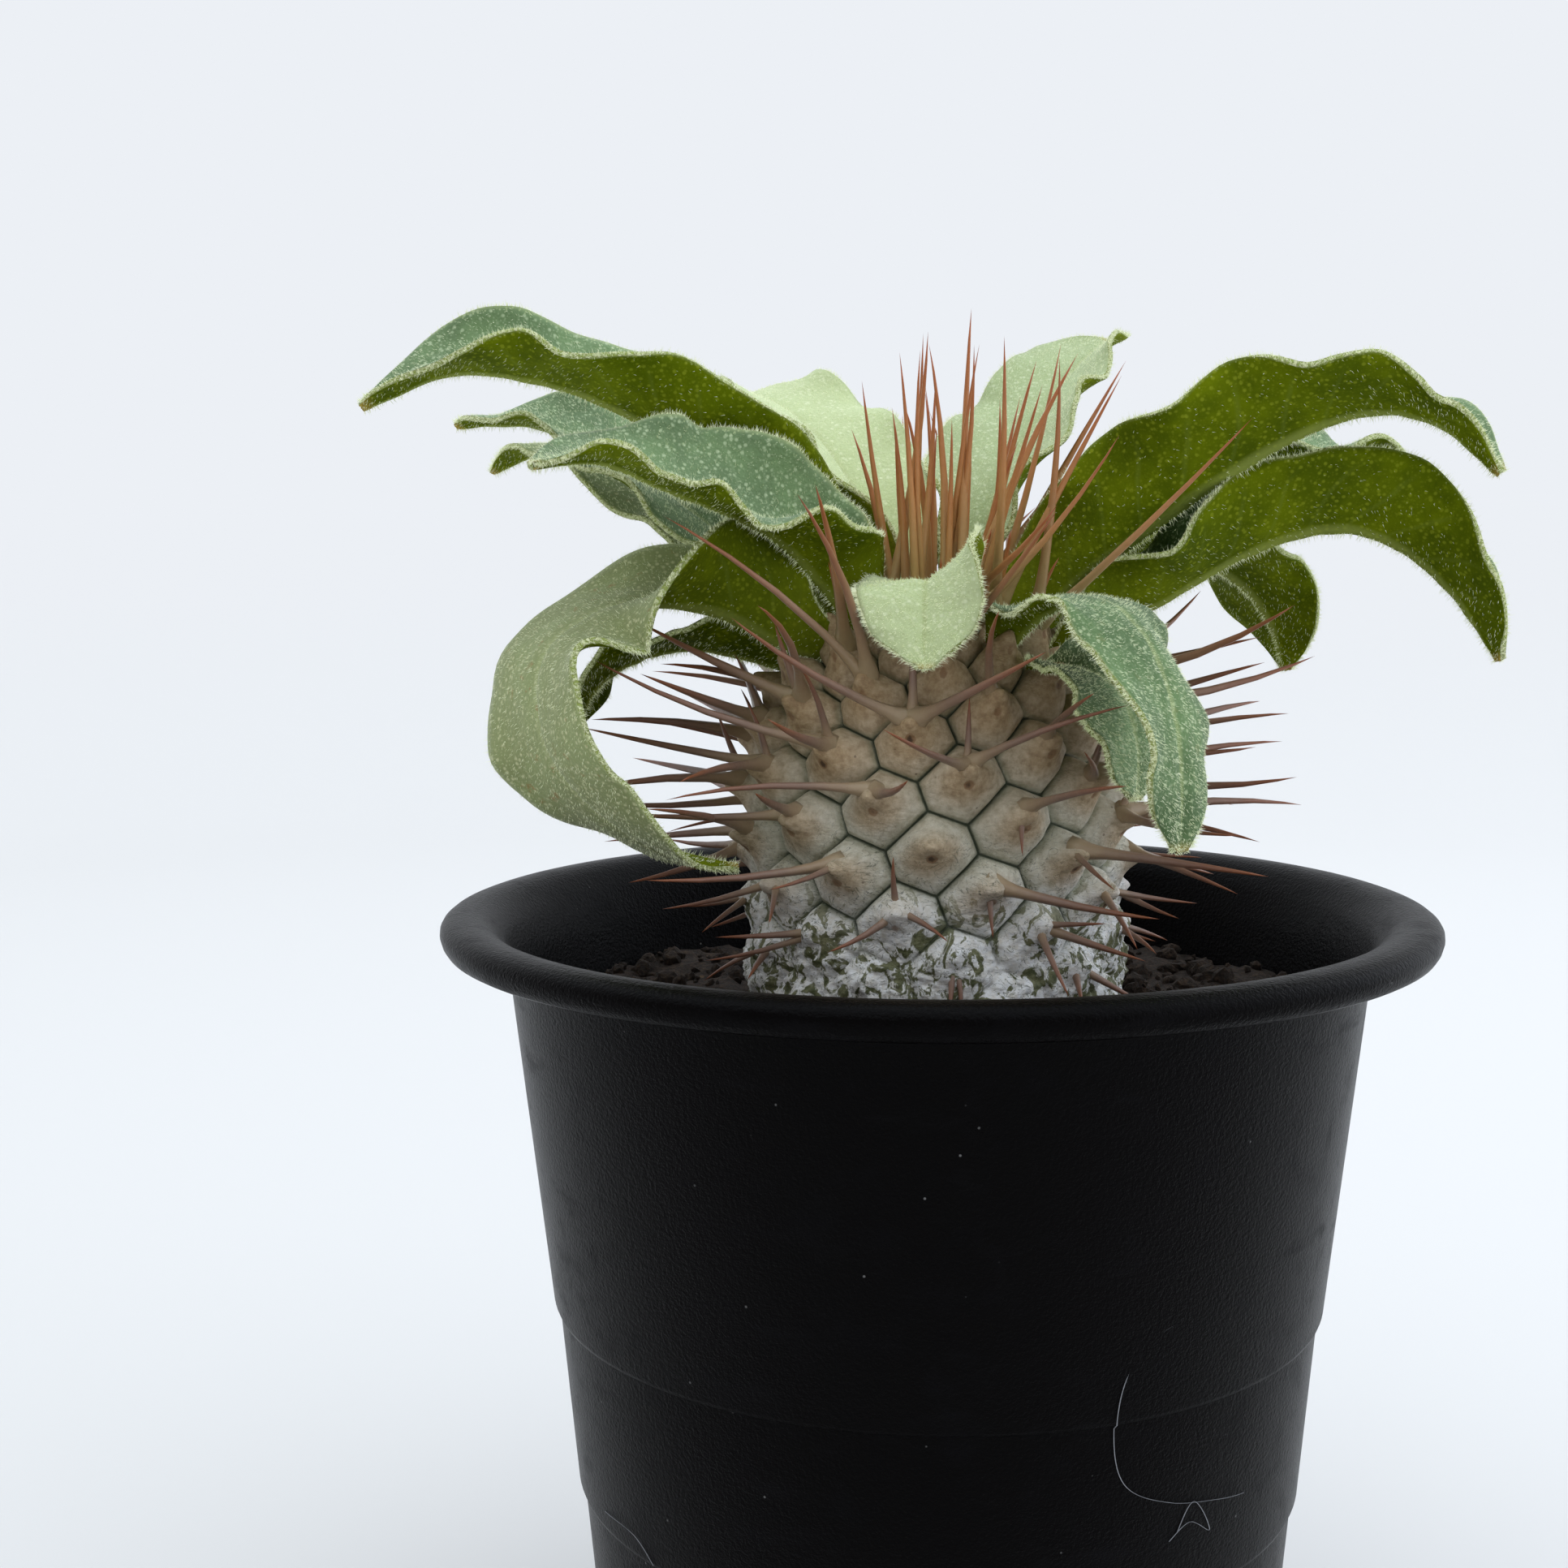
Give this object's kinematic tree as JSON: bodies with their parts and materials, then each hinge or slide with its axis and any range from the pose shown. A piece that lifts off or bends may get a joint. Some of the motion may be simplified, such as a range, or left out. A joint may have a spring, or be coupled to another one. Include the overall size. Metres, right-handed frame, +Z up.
{
  "type": "potted halfmens plant",
  "caption": "Young halfmens succulent with a tubercled, spiny stem and a crown of wavy, velvety leaves, standing in soil in a round nursery pot with a rolled rim.",
  "frame": {"origin": "centre of the pot's underside", "axes": "+Z up along the pot's axis; the front of the plant, as pictured, faces -Y; +X is to its right"},
  "size_m": [0.1186, 0.105, 0.1586],
  "materials": {
    "pot_plastic": "fine-grained matte black",
    "soil": "dark crumbly potting soil",
    "bark": "silver-grey tubercled bark with tan to rust spines",
    "leaf": "velvety grey-green, hairy margins"
  },
  "bodies": {
    "root": {"pot": "pot_plastic", "soil": "soil", "stem": "bark", "leaf_01": "leaf", "leaf_02": "leaf", "leaf_03": "leaf", "leaf_04": "leaf", "leaf_05": "leaf", "leaf_06": "leaf", "leaf_07": "leaf", "leaf_08": "leaf", "leaf_09": "leaf", "leaf_10": "leaf", "leaf_11": "leaf", "leaf_12": "leaf", "leaf_13": "leaf", "leaf_14": "leaf", "leaf_15": "leaf"}
  },
  "joints": []
}
